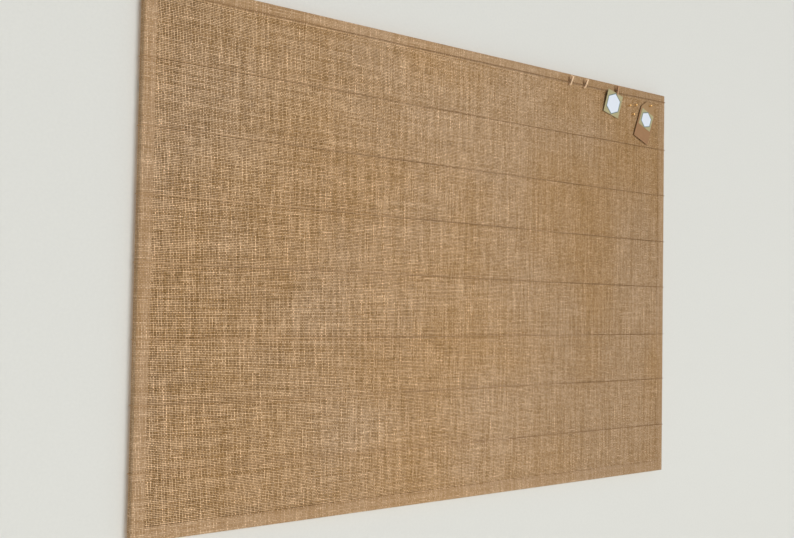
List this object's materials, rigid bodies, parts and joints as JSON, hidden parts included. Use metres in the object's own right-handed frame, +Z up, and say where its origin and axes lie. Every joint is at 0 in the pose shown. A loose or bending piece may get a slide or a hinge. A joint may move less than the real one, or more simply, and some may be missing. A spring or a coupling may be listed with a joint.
{
  "type": "memo board",
  "caption": "Wall memo board: hessian-covered cork panel on a thin wooden frame, with taut strings, sprung mini pegs, push pins and card tags, hung on ring hangers.",
  "frame": {"origin": "centre of the board's outline, on the plane of the wall that its back pads touch", "axes": "+X along the width to the viewer's right, +Y into the wall, +Z up; the face looks along -Y"},
  "size_m": [1.2034, 0.0287, 0.8],
  "materials": {
    "pine": "planed, unfinished",
    "cork": "granular cork sheet",
    "hardboard": "smooth pressed fibre",
    "hessian": "coarse plain weave of natural jute",
    "jute_string": "twisted jute, slightly hairy",
    "staple_steel": "plated wire",
    "birch": "pale, sanded",
    "spring_steel": "drawn wire",
    "kraft_card": "uncoated olive-beige kraft",
    "brown_card": "uncoated brown card",
    "white_paper": "matt white with a grey outline, no print",
    "brass": "polished",
    "hanger_steel": "zinc plated",
    "felt": "dense dark felt"
  },
  "bodies": {
    "board": {"top_rail": "pine", "bottom_rail": "pine", "left_rail": "pine", "right_rail": "pine", "cork_panel": "cork", "back_panel": "hardboard", "hessian_cover": "hessian", "string_1": "jute_string", "string_2": "jute_string", "string_3": "jute_string", "string_4": "jute_string", "string_5": "jute_string", "string_6": "jute_string", "string_7": "jute_string", "string_8": "jute_string", "staple_1_left": "staple_steel", "staple_1_right": "staple_steel", "staple_2_left": "staple_steel", "staple_2_right": "staple_steel", "staple_3_left": "staple_steel", "staple_3_right": "staple_steel", "staple_4_left": "staple_steel", "staple_4_right": "staple_steel", "staple_5_left": "staple_steel", "staple_5_right": "staple_steel", "staple_6_left": "staple_steel", "staple_6_right": "staple_steel", "staple_7_left": "staple_steel", "staple_7_right": "staple_steel", "staple_8_left": "staple_steel", "staple_8_right": "staple_steel", "pad_upper_left": "felt", "pad_lower_left": "felt", "pad_upper_right": "felt", "pad_lower_right": "felt", "hanger_strap_left": "hanger_steel", "hanger_screw_left": "hanger_steel", "hanger_strap_right": "hanger_steel", "hanger_screw_right": "hanger_steel"},
    "peg_1": {"peg_1_back": "birch", "peg_1_spring": "spring_steel"},
    "peg_1_jaw": {"peg_1_front": "birch"},
    "peg_2": {"peg_2_back": "birch", "peg_2_spring": "spring_steel"},
    "peg_2_jaw": {"peg_2_front": "birch"},
    "peg_3": {"peg_3_back": "birch", "peg_3_spring": "spring_steel", "tag_1_card": "kraft_card", "tag_1_label": "white_paper"},
    "peg_3_jaw": {"peg_3_front": "birch"},
    "pin_1": {"pin_1": "brass"},
    "pin_2": {"pin_2": "brass"},
    "pin_3": {"pin_3": "brass"},
    "pin_4": {"pin_4": "brass"},
    "swing_tag": {"tag_2_card": "brown_card", "tag_2_patch": "kraft_card", "tag_2_label": "white_paper"},
    "ring_left": {"hanger_ring_left": "hanger_steel"},
    "ring_right": {"hanger_ring_right": "hanger_steel"}
  },
  "joints": [
    {"name": "peg_1_slide", "type": "slide", "parent": "board", "child": "peg_1", "axis": [1, 0, 0], "range_m": [-0.05, 0.012]},
    {"name": "peg_1_open", "type": "hinge", "parent": "peg_1", "child": "peg_1_jaw", "pos_m": [0.2937, -0.02276, 0.38636], "axis": [-1, 0, 0], "range_deg": [0, 17.5], "stiffness_Nm_per_rad": 0.03, "springref_deg": -17.19, "deforming": ["peg_1_spring"]},
    {"name": "peg_2_slide", "type": "slide", "parent": "board", "child": "peg_2", "axis": [1, 0, 0], "range_m": [-0.012, 0.02]},
    {"name": "peg_2_open", "type": "hinge", "parent": "peg_2", "child": "peg_2_jaw", "pos_m": [0.33682, -0.02276, 0.38635], "axis": [-0.9962, 0, 0.0872], "range_deg": [0, 17.5], "stiffness_Nm_per_rad": 0.03, "springref_deg": -17.19, "deforming": ["peg_2_spring"]},
    {"name": "peg_3_slide", "type": "slide", "parent": "board", "child": "peg_3", "axis": [1, 0, 0], "range_m": [-0.012, 0.012]},
    {"name": "peg_3_open", "type": "hinge", "parent": "peg_3", "child": "peg_3_jaw", "pos_m": [0.434, -0.02309, 0.38686], "axis": [-1, 0, 0], "range_deg": [0, 6.4], "stiffness_Nm_per_rad": 0.03, "springref_deg": -17.19, "deforming": ["peg_3_spring"]},
    {"name": "pin_1_pull", "type": "slide", "parent": "board", "child": "pin_1", "axis": [0, -1, 0], "range_m": [0, 0.01]},
    {"name": "pin_2_pull", "type": "slide", "parent": "board", "child": "pin_2", "axis": [0, -1, 0], "range_m": [0, 0.01]},
    {"name": "pin_3_pull", "type": "slide", "parent": "board", "child": "pin_3", "axis": [0, -1, 0], "range_m": [0, 0.01]},
    {"name": "pin_4_pull", "type": "slide", "parent": "board", "child": "pin_4", "axis": [0, -1, 0], "range_m": [0, 0.01]},
    {"name": "tag_2_swing", "type": "hinge", "parent": "pin_4", "child": "swing_tag", "pos_m": [0.5456, -0.0184, 0.3706], "axis": [0, 1, 0], "range_deg": [-42, 10]},
    {"name": "ring_left_swing", "type": "hinge", "parent": "board", "child": "ring_left", "pos_m": [-0.5895, -0.00175, 0.25007], "axis": [1, 0, 0], "range_deg": [0, 180]},
    {"name": "ring_right_swing", "type": "hinge", "parent": "board", "child": "ring_right", "pos_m": [0.5895, -0.00175, 0.25007], "axis": [1, 0, 0], "range_deg": [0, 180]}
  ]
}
